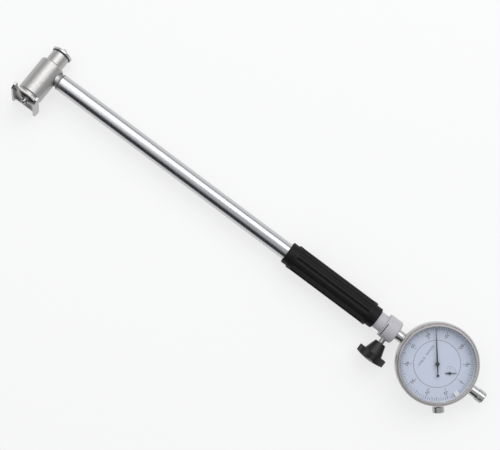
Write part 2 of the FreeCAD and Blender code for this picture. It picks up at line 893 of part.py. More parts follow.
def clamp_sleeve():
    """Split sleeve that takes the dial's stem."""
    seat_bore = dim.dial_stem_radius + dim.running_gap
    neck_start = dim.grip_start + dim.grip_front_length + dim.grip_length + dim.grip_rear_length
    body = about_stem("clamp_sleeve", [
        (dim.clamp_spigot_start, dim.clamp_inner_bore),
        (dim.clamp_seat, dim.clamp_inner_bore),
        (dim.clamp_seat, seat_bore),
        (dim.clamp_end, seat_bore),
        (dim.clamp_end, dim.clamp_radius - dim.clamp_round),
        (dim.clamp_end - dim.clamp_round, dim.clamp_radius, dim.clamp_round),
        (dim.clamp_shoulder, dim.clamp_radius),
        (dim.clamp_shoulder, dim.clamp_neck_radius),
        (neck_start, dim.clamp_neck_radius),
        (neck_start, dim.tube_bore),
        (dim.clamp_spigot_start, dim.tube_bore),
    ])
    screw = circles(body, "ScrewCircle", "XZ_Plane", [(dim.screw_place, 0, dim.screw_radius)])
    pocket(body, "ScrewHole", screw, forwards=True)
    cross = circles(body, "CrossCircle", "XZ_Plane", [(dim.screw_place, 0, dim.cross_hole)])
    pocket(body, "CrossHole", cross)
    reach = dim.clamp_radius + 1
    slit = outline(body, "SlitOutline", "YZ_Plane", [
        (-reach, -reach), (dim.slit_edge, -reach), (dim.slit_edge, reach), (-reach, reach)],
        offset=dim.slit_start)
    pocket(body, "Slit", slit, length=dim.slit_width, forwards=True)
    half = dim.split_width / 2
    split = outline(body, "SplitOutline", "YZ_Plane", [
        (-half, -reach), (half, -reach), (half, half - half), (-half, half - half)],
        offset=dim.slit_start)
    pocket(body, "Split", split, length=dim.clamp_end - dim.slit_start, forwards=True)
    return body


def about_screw(label, points):
    """A piece turned about the clamp screw's axis, drawn as (radius, distance from the stem)."""
    body = new_body(label)
    drawn = [(p[0], -p[1]) + tuple(-r for r in p[2:]) for p in points]
    revolve(body, "Turned", outline(body, "Profile", "XY_Plane", drawn), "V_Axis")
    body.Placement = Placement(Vector(dim.screw_place.value, 0, 0), Rotation())
    body.setExpression("Placement.Base.x", dim.screw_place.formula)
    return body


def clamp_pad():
    start = dim.dial_stem_radius + dim.running_gap
    return about_screw("clamp_pad", ring_profile(0, dim.screw_radius - dim.thin_gap,
                                                 start, start + dim.pad_length))


def clamp_screw():
    start = dim.dial_stem_radius + dim.running_gap + dim.pad_length + dim.end_gap
    return about_screw("clamp_screw", ring_profile(0, dim.screw_radius - dim.running_gap,
                                                   start, dim.screw_end))


def star_knob():
    """Moulded star knob on the clamp screw: tapered hub, lobed rim and a domed face."""
    bore = dim.screw_radius - dim.running_gap
    body = about_screw("star_knob", [
        (bore, dim.knob_start),
        (dim.knob_hub, dim.knob_start),
        (dim.knob_cone, dim.knob_flange),
        (dim.knob_radius, dim.knob_flange),
        (dim.knob_radius, dim.knob_rim_end),
        (dim.dome_flat, dim.knob_end, dim.knob_radius * 3.6),
        (0, dim.knob_end),
        (0, dim.screw_end),
        (bore, dim.screw_end),
    ])
    scallop = circles(body, "ScallopCircle", "XZ_Plane",
                      [(dim.scallop_centre, 0, dim.scallop_radius)], offset=dim.knob_flange - 1)
    cut = pocket(body, "Scallop", scallop, forwards=True)
    repeat_round(body, "Scallops", cut, "Y_Axis", dim.knob_lobes)
    return body


# ---- dial indicator --------------------------------------------------------------------------

def dial_case():
    """Cup with its face plate in front: flange for the bezel, bores for stem and guard."""
    cover_top = -dim.back_level + dim.cover_thickness
    arbor_bore = dim.arbor_radius + dim.running_gap
    body = about_dial_axis("dial_case", [
        (arbor_bore, dim.plate_low),
        (dim.case_bore, dim.plate_low),
        (dim.case_bore, cover_top),
        (dim.case_radius, cover_top),
        (dim.case_radius, dim.flange_low),
        (dim.flange_radius, dim.flange_low),
        (dim.flange_radius, dim.plate_high),
        (arbor_bore, dim.plate_high),
    ])
    post_low = cover_top + dim.cover_spigot_height
    posts = circles(body, "PostCircles", "XY_Plane", screw_places(dim.post_radius),
                    offset=post_low)
    pad(body, "Posts", posts, dim.plate_low + 0.3 - post_low)
    boss = circles(body, "BossCircle", "YZ_Plane", [(0, dim.lock_level, dim.boss_radius)],
                   offset=dim.case_radius - 1, swing=dim.lock_place)
    pad(body, "LockBoss", boss, dim.boss_end - dim.case_radius + 1)
    lock = circles(body, "LockCircle", "YZ_Plane",
                   [(0, dim.lock_level, dim.lock_thread + dim.running_gap)],
                   offset=dim.case_bore - 1, swing=dim.lock_place)
    pocket(body, "LockHole", lock, forwards=True)
    stem = circles(body, "StemCircle", "YZ_Plane", [(0, 0, dim.dial_stem_radius)])
    pocket(body, "StemBore", stem)
    guard = circles(body, "GuardCircle", "YZ_Plane", [(0, 0, dim.guard_thread)])
    pocket(body, "GuardBore", guard, forwards=True)
    counter = circles(body, "CounterCircle", "XY_Plane",
                      [(dim.counter_centre, 0, dim.counter_arbor + dim.running_gap)])
    pocket(body, "CounterBore", counter, forwards=True)
    tapped = circles(body, "TappedCircles", "XY_Plane", screw_places(dim.cover_screw),
                     offset=post_low)
    pocket(body, "TappedHoles", tapped, length=dim.cover_screw_length, forwards=True)
    return body


def screw_places(radius):
    """The four cover screw places round the dial's axis, each with this radius."""
    places = []
    for index in range(4):
        angle = math.radians(dim.post_angle.value + 90 * index)
        x = dim.post_place * round(math.cos(angle), 6)
        y = dim.post_place * round(math.sin(angle), 6)
        places.append((x, y, radius))
    return places


def back_cover():
    """Flat cover that closes the case, with a locating spigot and countersunk holes."""
    low = -dim.back_level
    top = low + dim.cover_thickness
    body = about_dial_axis("back_cover", [
        (0, low),
        (dim.cover_radius - dim.cover_chamfer, low),
        (dim.cover_radius, low + dim.cover_chamfer),
        (dim.cover_radius, top),
        (dim.cover_spigot, top),
        (dim.cover_spigot, top + dim.cover_spigot_height),
        (0, top + dim.cover_spigot_height),
    ])
    head_x = dim.post_place
    sink = outline(body, "SinkSection", "XZ_Plane", [
        (0, low),
        (dim.cover_screw_head, low),
        (dim.cover_screw, low + dim.cover_screw_cone),
        (dim.cover_screw, top + dim.cover_spigot_height),
        (0, top + dim.cover_spigot_height),
    ], along=head_x, swing=dim.post_angle)
    cut = groove(body, "ScrewHole", sink, "V_Axis")
    repeat_round(body, "ScrewHoles", cut, "Z_Axis", Size.of(4))
    return body


def back_screws():
    """Four countersunk screws as one group."""
    low = -dim.back_level
    radius = dim.cover_screw - 0.05
    screws = []
    for index, (x, y, _) in enumerate(screw_places(dim.cover_screw)):
        head = doc.addObject("Part::Cone", f"ScrewHead{index + 1}")
        head.setExpression("Radius1", (dim.cover_screw_head - 0.1).formula)
        head.setExpression("Radius2", radius.formula)
        head.setExpression("Height", dim.cover_screw_cone.formula)
        shank = doc.addObject("Part::Cylinder", f"ScrewShank{index + 1}")
        shank.setExpression("Radius", radius.formula)
        shank.setExpression("Height", dim.cover_screw_length.formula)
        screw = doc.addObject("Part::MultiFuse", f"Screw{index + 1}")
        screw.Shapes = [head, shank]
        screw.setExpression("Placement.Base.x", (dim.dial_centre + x).formula)
        screw.setExpression("Placement.Base.y", y.formula)
        screw.setExpression("Placement.Base.z", (low + 0.05).formula)
        screws.append(screw)
    group = doc.addObject("Part::Compound", "back_screws")
    group.Label = "back_screws"
    group.Links = screws
    return group


def about_dial_stem(label, points):
    """A piece turned about the dial's stem, drawn as (along from the dial's centre, radius)."""
    return put_in_dial(about_stem(label, points))


def dial_stem():
    bore = dim.spindle_radius + dim.running_gap
    return about_dial_stem("dial_stem", [
        (-dim.dial_stem_end, bore),
        (-dim.dial_stem_start, bore),
        (-dim.dial_stem_start, dim.dial_stem_radius),
        (-dim.dial_stem_end + 0.5, dim.dial_stem_radius),
        (-dim.dial_stem_end, dim.dial_stem_radius - 0.5),
    ])


def dial_spindle():
    return about_dial_stem("dial_spindle", bush_profile(-dim.spindle_end, dim.spindle_top,
                                                        0, dim.spindle_radius))


def contact_point():
    """Screwed-in contact point: ball-like collar, then a slim rounded tip."""
    collar_end = -dim.spindle_end - dim.point_collar_length
    tip_start = -dim.point_end + 0.8
    return about_dial_stem("contact_point", [
        (-dim.spindle_end, 0),
        (-dim.spindle_end, 1.5),
        (-dim.spindle_end - 0.5, dim.point_collar),
        (collar_end, dim.point_collar),
        (collar_end - 0.6, dim.point_radius),
        (tip_start, dim.point_radius),
        (-dim.point_end, dim.dome_flat, dim.point_radius * 1.3),
        (-dim.point_end, 0),
    ])


def guard_tube():
    """Tube that covers the spindle's free end."""
    bore = dim.spindle_radius + dim.thin_gap
    inside = dim.case_bore + 0.2
    return about_dial_stem("guard_tube", [
        (inside, bore),
        (dim.guard_spigot_end, bore),
        (dim.guard_spigot_end, dim.guard_thread),
        (dim.guard_end, dim.guard_thread),
        (dim.guard_end, dim.guard_radius),
        (dim.case_radius, dim.guard_radius),
        (dim.case_radius, dim.guard_thread),
        (inside, dim.guard_thread),
    ])


def guard_cap():
    edge = dim.cap_edge
    return about_dial_stem("guard_cap", [
        (dim.guard_end, dim.guard_thread),
        (dim.guard_spigot_end, dim.guard_thread),
        (dim.guard_spigot_end, 0),
        (dim.cap_end, 0),
        (dim.cap_end, dim.cap_radius - edge),
        (dim.cap_end - edge, dim.cap_radius),
        (dim.guard_end, dim.cap_radius),
    ])


def bezel_ring():
    """Turnable bezel: outer band, a groove, and a raised rim round the window."""
    return about_dial_axis("bezel_ring", [
        (dim.bezel_lip, dim.bezel_low),
        (dim.bezel_radius - 0.3, dim.bezel_low),
        (dim.bezel_radius, dim.bezel_low + 0.3),
        (dim.bezel_radius, dim.bezel_step - 0.6),
        (dim.bezel_radius - 0.45, dim.bezel_step),
        (dim.groove_outer, dim.bezel_step),
        (dim.groove_outer, dim.groove_level),
        (dim.groove_inner, dim.groove_level),
        (dim.groove_inner, dim.bezel_top - 0.6),
        (dim.groove_inner - 0.5, dim.bezel_top),
        (dim.bezel_window + 0.3, dim.bezel_top),
        (dim.bezel_window, dim.bezel_top - 0.3),
        (dim.bezel_window, dim.crystal_high),
        (dim.bezel_wall, dim.crystal_high),
        (dim.bezel_wall, dim.bezel_seat),
        (dim.flange_radius + 0.15, dim.bezel_seat),
        (dim.flange_radius + 0.15, dim.bezel_catch),
        (dim.bezel_lip, dim.bezel_catch),
    ])


def crystal():
    """Thin window, a little crowned."""
    crown = dim.bezel_window - 0.4
    return about_dial_axis("crystal", [
        (0, dim.crystal_low),
        (dim.bezel_wall, dim.crystal_low),
        (dim.bezel_wall, dim.crystal_high),
        (crown, dim.crystal_high),
        (dim.dome_flat, dim.crystal_crown, dim.bezel_window * 14),
        (0, dim.crystal_crown),
    ])


def scale_ring():
    return about_dial_axis("scale_ring", ring_profile(dim.scale_inner, dim.bezel_wall,
                                                      dim.scale_low, dim.scale_high))


def center_disc():
    body = about_dial_axis("center_disc", ring_profile(dim.arbor_radius + dim.thin_gap,
                                                       dim.disc_radius, dim.plate_high,
                                                       dim.scale_high))
    hole = circles(body, "CounterCircle", "XY_Plane",
                   [(dim.counter_centre, 0, dim.counter_arbor + dim.thin_gap)])
    pocket(body, "CounterHole", hole, forwards=True)
    return body


def tolerance_marker():
    """Friction ring inside the bezel with one tab over the scale."""
    body = about_dial_axis("tolerance_marker", ring_profile(
        dim.marker_ring, dim.marker_outer, dim.scale_high + dim.end_gap, dim.marker_high))
    half = dim.marker_width / 2
    tab = outline(body, "TabOutline", "XY_Plane",
                  rectangle(dim.marker_reach, dim.marker_ring + 0.2, -half, half),
                  offset=dim.marker_low)
    pad(body, "Tab", tab, dim.marker_high - dim.marker_low)
    return put_in_dial(body, clockwise=dim.marker_place)


def bezel_lock_screw():
    """Thumbscrew that clamps the bezel."""
    edge = dim.lock_edge
    body = about_stem("bezel_lock_screw", [
        (dim.lock_inner, 0),
        (dim.lock_head_end, 0),
        (dim.lock_head_end, dim.lock_head_radius - edge),
        (dim.lock_head_end - edge, dim.lock_head_radius),
        (dim.lock_head_start + edge, dim.lock_head_radius),
        (dim.lock_head_start, dim.lock_head_radius - edge),
        (dim.lock_head_start, dim.lock_thread),
        (dim.lock_inner, dim.lock_thread),
    ])
    put_in_dial(body, clockwise=dim.lock_place)
    body.Placement.Base.z = dim.lock_level.value
    body.setExpression("Placement.Base.z", dim.lock_level.formula)
    return body


def main_pointer():
    """Long tapered hand with a round dot near its tail, on the movement's arbor."""
    body = about_dial_axis("main_pointer", [
        (0, dim.arbor_low),
        (dim.arbor_radius, dim.arbor_low),
        (dim.arbor_radius, dim.pointer_hub_low),
        (dim.pointer_hub, dim.pointer_hub_low),
        (dim.pointer_hub, dim.pointer_hub_high),
        (0, dim.pointer_hub_high),
    ])
    blade = outline(body, "BladeOutline", "XY_Plane", [
        (-dim.pointer_tail, -dim.pointer_narrow * 2),
        (dim.pointer_hub - 0.5, -dim.pointer_wide),
        (dim.pointer_long, -dim.pointer_narrow),
        (dim.pointer_long, dim.pointer_narrow),
        (dim.pointer_hub - 0.5, dim.pointer_wide),
        (-dim.pointer_tail, dim.pointer_narrow * 2),
    ], offset=dim.pointer_low)
    pad(body, "Blade", blade, dim.pointer_thickness)
    dot = circles(body, "DotCircle", "XY_Plane",
                  [(-dim.pointer_tail + dim.pointer_dot, 0, dim.pointer_dot)],
                  offset=dim.pointer_low)
    pad(body, "Dot", dot, dim.pointer_thickness)
    return put_in_dial(body, clockwise=dim.pointer_place)


def counter_hand():
    """Short hand that counts the main pointer's turns."""
    body = about_dial_axis("counter_hand", [
        (0, dim.counter_arbor_low),
        (dim.counter_arbor, dim.counter_arbor_low),
        (dim.counter_arbor, dim.counter_hub_low),
        (dim.counter_hub, dim.counter_hub_low),
        (dim.counter_hub, dim.counter_hub_high),
        (0, dim.counter_hub_high),
    ])
    blade = outline(body, "BladeOutline", "XY_Plane", [
        (-dim.counter_tail, -dim.counter_wide),
        (dim.counter_long, -dim.pointer_narrow),
        (dim.counter_long, dim.pointer_narrow),
        (-dim.counter_tail, dim.counter_wide),
    ], offset=dim.counter_low)
    pad(body, "Blade", blade, dim.counter_thickness)
    place = Size.of(360) - dim.counter_place
    return put_in_dial(body, along=dim.counter_centre, clockwise=place)


# ---- the whole gauge -------------------------------------------------------------------------

def build():
    tube_bore = dim.tube_bore
    front_bush = -dim.axis_gap + dim.chamber_radius + 2.5
    middle = dim.middle_bush_start
    rear = dim.rear_bush_start
    return [
        head_body(),
        anvil_socket(),
        anvil_seal(),
        anvil_lock_nut(),
        fixed_anvil(),
        contact_bush(),
        crank_pin(),
        stem_collar(),
        stem_seal(),
        stem_tube(),
        rod_bush("rod_bush_front", front_bush, dim.front_bush_end, dim.collar_bore),
        rod_bush("rod_bush_middle", middle, middle + dim.middle_bush_length, tube_bore),
        rod_bush("rod_bush_rear", rear, rear + dim.rear_bush_length, tube_bore),
        grip_sleeve(),
        clamp_sleeve(),
        clamp_pad(),
        guide_bridge(),
        bridge_spring(),
        movable_contact(),
        contact_tip(),
        bell_crank(),
        push_rod(),
        rod_spring(),
        clamp_screw(),
        star_knob(),
        dial_case(),
        back_cover(),
        back_screws(),
        dial_stem(),
        guard_tube(),
        guard_cap(),
        center_disc(),
        dial_spindle(),
        contact_point(),
        main_pointer(),
        counter_hand(),
        bezel_ring(),
        crystal(),
        scale_ring(),
        tolerance_marker(),
        bezel_lock_screw(),
    ]


def export(pieces):
    doc.recompute()
    for item in doc.Objects:
        if "Invalid" in item.State or "Error" in item.State:
            raise ValueError(f"{item.Label} is {item.State}")
    os.makedirs("parts", exist_ok=True)
    for piece in pieces:
        if piece.Shape.isNull() or not piece.Shape.isValid():
            raise ValueError(f"{piece.Label} has no valid shape")
        piece.Shape.exportStep(f"parts/{piece.Label}.step")
        print(f"{piece.Label}: {piece.Shape.Volume:.1f} mm3")


export(build())
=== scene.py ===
import json
import math

import bmesh
import bpy
from mathutils import Matrix, Vector


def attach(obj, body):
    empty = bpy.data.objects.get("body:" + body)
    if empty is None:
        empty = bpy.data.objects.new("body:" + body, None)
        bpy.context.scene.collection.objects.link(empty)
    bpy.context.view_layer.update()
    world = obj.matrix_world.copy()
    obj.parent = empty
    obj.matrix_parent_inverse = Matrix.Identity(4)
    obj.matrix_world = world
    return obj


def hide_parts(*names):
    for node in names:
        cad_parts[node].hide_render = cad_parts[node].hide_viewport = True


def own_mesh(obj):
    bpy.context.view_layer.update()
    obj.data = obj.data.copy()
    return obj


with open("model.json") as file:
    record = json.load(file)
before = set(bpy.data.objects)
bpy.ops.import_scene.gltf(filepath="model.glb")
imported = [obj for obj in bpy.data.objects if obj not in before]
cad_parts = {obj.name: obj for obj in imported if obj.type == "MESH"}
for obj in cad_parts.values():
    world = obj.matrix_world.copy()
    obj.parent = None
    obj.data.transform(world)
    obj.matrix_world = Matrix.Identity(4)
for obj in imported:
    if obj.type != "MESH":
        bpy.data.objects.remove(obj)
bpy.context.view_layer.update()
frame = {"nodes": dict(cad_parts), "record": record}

nodes = frame["nodes"]
mm = 0.001

# +X runs along the stem to the dial, +Y is the fixed anvil's side, +Z comes out of the dial's face.
place = {
    "dialX": 331.7,      # the dial's axis, along the stem
    "axisX": -12.0,      # the measuring axis, along the stem
    "headRoll": 13.8,    # degrees that the head is rolled round the stem
    "screwX": 292.0,     # the clamp screw, along the stem
    "restZ": -11.65,     # the plane that the gauge lies on
}
dialCentre = Vector((place["dialX"] * mm, 0, 0))
headPlace = (Matrix.Translation(Vector((place["axisX"] * mm, 0, 0)))
             @ Matrix.Rotation(math.radians(-place["headRoll"]), 4, "X"))

crystalLook = {"roughness": 0.02, "ior": 1.45}
bumpDepth = 0.0001
noiseReach = (0.3, 0.7)    # the part of the noise that is spread over the whole change


def newMaterial(name):
    material = bpy.data.materials.new(name)
    material.use_nodes = True
    return material, material.node_tree, material.node_tree.nodes["Principled BSDF"]


def setInputs(shader, values):
    for name, value in values.items():
        shader.inputs[name].default_value = value


def objectCoords(tree, scale):
    coords = tree.nodes.new("ShaderNodeTexCoord")
    mapping = tree.nodes.new("ShaderNodeMapping")
    mapping.inputs["Scale"].default_value = scale
    tree.links.new(coords.outputs["Object"], mapping.inputs["Vector"])
    return mapping.outputs["Vector"]


def noiseValue(tree, vector, scale, detail=3.0):
    noise = tree.nodes.new("ShaderNodeTexNoise")
    noise.inputs["Scale"].default_value = scale
    noise.inputs["Detail"].default_value = detail
    tree.links.new(vector, noise.inputs["Vector"])
    return noise.outputs["Fac"]


def ranged(tree, value, low, high):
    reach = tree.nodes.new("ShaderNodeMapRange")
    reach.inputs["From Min"].default_value = noiseReach[0]
    reach.inputs["From Max"].default_value = noiseReach[1]
    reach.inputs["To Min"].default_value = low
    reach.inputs["To Max"].default_value = high
    tree.links.new(value, reach.inputs["Value"])
    return reach.outputs["Result"]


def larger(tree, first, second):
    node = tree.nodes.new("ShaderNodeMath")
    node.operation = "MAXIMUM"
    tree.links.new(first, node.inputs[0])
    tree.links.new(second, node.inputs[1])
    return node.outputs[0]


def mixInto(tree, share, base, over):
    mix = tree.nodes.new("ShaderNodeMixShader")
    tree.links.new(share, mix.inputs["Fac"])
    tree.links.new(base, mix.inputs[1])
    tree.links.new(over, mix.inputs[2])
    tree.links.new(mix.outputs[0], tree.nodes["Material Output"].inputs["Surface"])


def addBump(tree, shader, height, strength):
    bump = tree.nodes.new("ShaderNodeBump")
    bump.inputs["Strength"].default_value = strength
    bump.inputs["Distance"].default_value = bumpDepth
    tree.links.new(height, bump.inputs["Height"])
    tree.links.new(bump.outputs["Normal"], shader.inputs["Normal"])


# Bare metal, whose roughness wanders with a noise that may be stretched into a grain.
def metal(name, colour, roughness, spread=0.05, scale=(1, 1, 1), grain=400, bump=0.0):
    material, tree, shader = newMaterial(name)
    setInputs(shader, {"Base Color": (*colour, 1), "Metallic": 1.0, "Roughness": roughness})
    value = noiseValue(tree, objectCoords(tree, scale), grain)
    tree.links.new(ranged(tree, value, roughness - spread, roughness + spread),
                   shader.inputs["Roughness"])
    if bump:
        addBump(tree, shader, value, bump)
    return material


# Plastic, paint, rubber or print, with a fine skin where bump is above 0.
def coated(name, colour, roughness, bump=0.0, grain=1500, gloss=0.5):
    material, tree, shader = newMaterial(name)
    setInputs(shader, {"Base Color": (*colour, 1), "Roughness": roughness,
                       "Specular IOR Level": gloss})
    if bump:
        addBump(tree, shader, noiseValue(tree, objectCoords(tree, (1, 1, 1)), grain), bump)
    return material


# Clear to shadows and to diffuse light, so that the face under it is lit.
def crystalMaterial():
    material, tree, shader = newMaterial("crystal")
    setInputs(shader, {"Base Color": (1, 1, 1, 1), "Roughness": crystalLook["roughness"],
                       "IOR": crystalLook["ior"], "Transmission Weight": 1.0})
    clear = tree.nodes.new("ShaderNodeBsdfTransparent")
    paths = tree.nodes.new("ShaderNodeLightPath")
    share = larger(tree, paths.outputs["Is Shadow Ray"], paths.outputs["Is Diffuse Ray"])
    mixInto(tree, share, shader.outputs[0], clear.outputs[0])
    return material


finish = {
    "chromeTube": metal("chromeTube", (0.60, 0.60, 0.62), 0.26, 0.03, (1, 14, 14), 90),
    "nickel": metal("nickel", (0.52, 0.51, 0.50), 0.42, 0.05, (1, 1, 1), 600, 0.03),
    "groundSteel": metal("groundSteel", (0.56, 0.56, 0.56), 0.28, 0.05, (2, 30, 30), 60),
    "hardTip": metal("hardTip", (0.50, 0.50, 0.51), 0.2, 0.04),
    "brass": metal("brass", (0.75, 0.56, 0.27), 0.3, 0.05),
    "springSteel": metal("springSteel", (0.45, 0.45, 0.46), 0.3, 0.05),
    "bezelChrome": metal("bezelChrome", (0.60, 0.58, 0.58), 0.3, 0.04),
    "caseMetal": metal("caseMetal", (0.60, 0.60, 0.61), 0.36, 0.05, (1, 1, 1), 900, 0.05),
    "blastedAlloy": coated("blastedAlloy", (0.52, 0.51, 0.54), 0.46, 0.08, 1800),
    "gripBlack": coated("gripBlack", (0.0045, 0.004, 0.0045), 0.55, 0.08, 2200, gloss=0.25),
    "knobBlack": coated("knobBlack", (0.014, 0.013, 0.014), 0.42, 0.05, 1400, gloss=0.4),
    "sealBlack": coated("sealBlack", (0.012, 0.012, 0.012), 0.6),
    # The face's own pale colour plus a painted reflection: its grey-blue tint stands in for what the
    # crystal reflects.
    "faceWhiteAndPaintedReflection": coated("faceWhiteAndPaintedReflection", (0.60, 0.66, 0.79), 0.5),
    "inkBlack": coated("inkBlack", (0.02, 0.02, 0.025), 0.5),
    # Painted shade: grey for a ring laid over the seam between the fixed disc and the turning scale,
    # standing in for the seam's shade.
    "paintedSeamShade": coated("paintedSeamShade", (0.32, 0.33, 0.36), 0.5),
    "inkRed": coated("inkRed", (0.45, 0.05, 0.05), 0.5),
    "handBlack": coated("handBlack", (0.015, 0.015, 0.018), 0.35),
    "tabWhite": coated("tabWhite", (0.86, 0.87, 0.90), 0.35),
    "crystal": crystalMaterial(),
}

slotFinish = {
    "head_steel": "nickel",
    "steel_polished": "chromeTube",
    "bright_steel": "groundSteel",
    "tip_hard": "hardTip",
    "brass_bush": "brass",
    "seal_black": "sealBlack",
    "grip_black": "gripBlack",
    "clamp_grey": "blastedAlloy",
    "knob_black": "knobBlack",
    "case_grey": "caseMetal",
    "bezel_chrome": "bezelChrome",
    "face_white": "faceWhiteAndPaintedReflection",
    "hand_black": "handBlack",
    "crystal_clear": "crystal",
    "spring_wire": "springSteel",
    "marker_white": "tabWhite",
}
slotOf = {part["node"]: part["material_slot"] for part in frame["record"]["subparts"]}


def dressNodes():
    for name, node in nodes.items():
        node.data.materials.clear()
        node.data.materials.append(finish[slotFinish[slotOf[name]]])
    print("materials on", len(nodes), "nodes")


dressNodes()


def addPiece(name, mesh, body):
    piece = bpy.data.objects.new(name, mesh)
    bpy.context.scene.collection.objects.link(piece)
    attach(piece, body)
    return piece


def dressMesh(mesh, material):
    mesh.materials.clear()
    mesh.materials.append(finish[material])
    return mesh


def addSocket(group, name, kind, default, direction="INPUT"):
    made = group.interface.new_socket(name, in_out=direction, socket_type=kind)
    if default is not None:
        made.default_value = default


# Bars set round the Z axis, each pointing outwards and then turned by the twist about its own middle.
def barRingGroup():
    group = bpy.data.node_groups.new("barRing", "GeometryNodeTree")
    addSocket(group, "Count", "NodeSocketInt", 12)
    addSocket(group, "Radius", "NodeSocketFloat", 0.01)
    addSocket(group, "Height", "NodeSocketFloat", 0.0)
    addSocket(group, "Size", "NodeSocketVector", (0.001, 0.001, 0.001))
    addSocket(group, "Twist", "NodeSocketFloat", 0.0)
    addSocket(group, "Start", "NodeSocketFloat", 0.0)
    addSocket(group, "Material", "NodeSocketMaterial", None)
    addSocket(group, "Geometry", "NodeSocketGeometry", None, "OUTPUT")
    links = group.links
    given = group.nodes.new("NodeGroupInput").outputs

    def maths(operation, *values):
        node = group.nodes.new("ShaderNodeMath")
        node.operation = operation
        for index, value in enumerate(values):
            if isinstance(value, float):
                node.inputs[index].default_value = value
            else:
                links.new(value, node.inputs[index])
        return node.outputs[0]

    points = group.nodes.new("GeometryNodePoints")
    links.new(given["Count"], points.inputs["Count"])
    index = group.nodes.new("GeometryNodeInputIndex").outputs[0]
    step = maths("DIVIDE", 2 * math.pi, given["Count"])
    angle = maths("ADD", maths("MULTIPLY", index, step), given["Start"])
    spot = group.nodes.new("ShaderNodeCombineXYZ")
    links.new(maths("MULTIPLY", maths("COSINE", angle), given["Radius"]), spot.inputs["X"])
    links.new(maths("MULTIPLY", maths("SINE", angle), given["Radius"]), spot.inputs["Y"])
    links.new(given["Height"], spot.inputs["Z"])
    links.new(spot.outputs[0], points.inputs["Position"])
    bar = group.nodes.new("GeometryNodeMeshCube")
    links.new(given["Size"], bar.inputs["Size"])
    turn = group.nodes.new("ShaderNodeCombineXYZ")
    links.new(maths("ADD", angle, given["Twist"]), turn.inputs["Z"])
    bars = group.nodes.new("GeometryNodeInstanceOnPoints")
    links.new(points.outputs[0], bars.inputs["Points"])
    links.new(bar.outputs["Mesh"], bars.inputs["Instance"])
    links.new(turn.outputs[0], bars.inputs["Rotation"])
    real = group.nodes.new("GeometryNodeRealizeInstances")
    links.new(bars.outputs[0], real.inputs[0])
    paint = group.nodes.new("GeometryNodeSetMaterial")
    links.new(real.outputs[0], paint.inputs["Geometry"])
    links.new(given["Material"], paint.inputs["Material"])
    out = group.nodes.new("NodeGroupOutput")
    links.new(paint.outputs[0], out.inputs["Geometry"])
    return group


barRing = barRingGroup()


# The plain mesh of a scratch object, once its modifiers or its letters have been worked out.
def bakedMesh(holder):
    bpy.context.view_layer.update()
    ready = holder.evaluated_get(bpy.context.evaluated_depsgraph_get())
    mesh = bpy.data.meshes.new_from_object(ready)
    bpy.data.objects.remove(holder)
    return mesh


def barRingMesh(name, material, **values):
    holder = bpy.data.objects.new(name, bpy.data.meshes.new(name))
    bpy.context.scene.collection.objects.link(holder)
    modifier = holder.modifiers.new("Bars", "NODES")
    modifier.node_group = barRing
    values["Material"] = finish[material]
    for item in barRing.interface.items_tree:
        if item.in_out == "INPUT" and item.name in values:
            modifier[item.identifier] = values[item.name]
    return bakedMesh(holder)


# One mesh from several, each with its place, keeping their materials.
def joinedMesh(name, meshes):
    made = bmesh.new()
    materials = []
    for mesh, matrix in meshes:
        start = len(made.faces)
        copy = mesh.copy()
        copy.transform(matrix)
        made.from_mesh(copy)
        made.faces.ensure_lookup_table()
        for face in made.faces[start:]:
            material = copy.materials[face.material_index]
            if material not in materials:
                materials.append(material)
            face.material_index = materials.index(material)
        bpy.data.meshes.remove(copy)
    result = bpy.data.meshes.new(name)
    made.to_mesh(result)
    made.free()
    for material in materials:
        result.materials.append(material)
    return result


dialPrint = {
    "height": 7.51,
    "outer": 26.1,                # the ticks' outer ends
    "ticks": ((100, 2.3, 0.20), (20, 3.0, 0.26), (10, 3.5, 0.26)),    # count, length, width
    "tickDepth": 0.01,
    "letterDepth": 0.01,
    "letterSteps": 3,
    "numerals": 10,
    "numeralRadius": 20.9,
    "numeralSize": 3.3,
    "reverseRadius": 18.5,
    "reverseSize": 1.5,
    "note": "0.01mm   0-3mm",
    "noteDrop": 9.6,
    "noteSize": 2.5,
    "seamShadeRadius": 16.5,           # painted shade: a grey ring over the gap between the fixed disc and the turning scale
    "seamShadeWidth": 0.5,
    "seamShadeSteps": 120,
}
counterPrint = {
    "up": 10.9,                   # from the dial's centre towards zero
    "arcRadius": 4.7,
    "arcWidth": 0.12,
    "arcSteps": 48,
    "digitAngles": (42, 80, 118, 156),
    "digitRadius": 3.5,
    "digitSize": 1.4,
}


# Flat letters, centred on the origin in the XY plane.
def textMesh(text, size, material):
    curve = bpy.data.curves.new("letters", "FONT")
    curve.body = text
    curve.size = size * mm
    curve.align_x = "CENTER"
    curve.align_y = "CENTER"
    curve.extrude = dialPrint["letterDepth"] * mm
    curve.resolution_u = dialPrint["letterSteps"]
    holder = bpy.data.objects.new("letters", curve)
    bpy.context.scene.collection.objects.link(holder)
    return dressMesh(bakedMesh(holder), material)


# A place on the dial, in degrees clockwise from zero, which lies towards +X.
def dialSpot(clockwise, radius, height):
    angle = math.radians(clockwise)
    spot = dialCentre + Vector((radius * math.cos(angle), -radius * math.sin(angle), height)) * mm
    return Matrix.Translation(spot) @ Matrix.Rotation(math.radians(-90), 4, "Z")


# A flat printed arc between two angles, anticlockwise from +X.
def arcMesh(name, radius, width, start, end, steps, material):
    made = bmesh.new()
    up = Vector((0, 0, dialPrint["height"] * mm))
    inner = []
    outer = []
    for step in range(steps + 1):
        angle = math.radians(start + (end - start) * step / steps)
        way = Vector((math.cos(angle), math.sin(angle), 0))
        inner.append(made.verts.new(way * (radius - width / 2) * mm + up))
        outer.append(made.verts.new(way * (radius + width / 2) * mm + up))
    for step in range(steps):
        made.faces.new((inner[step], outer[step], outer[step + 1], inner[step + 1]))
    mesh = bpy.data.meshes.new(name)
    made.to_mesh(mesh)
    made.free()
    return dressMesh(mesh, material)


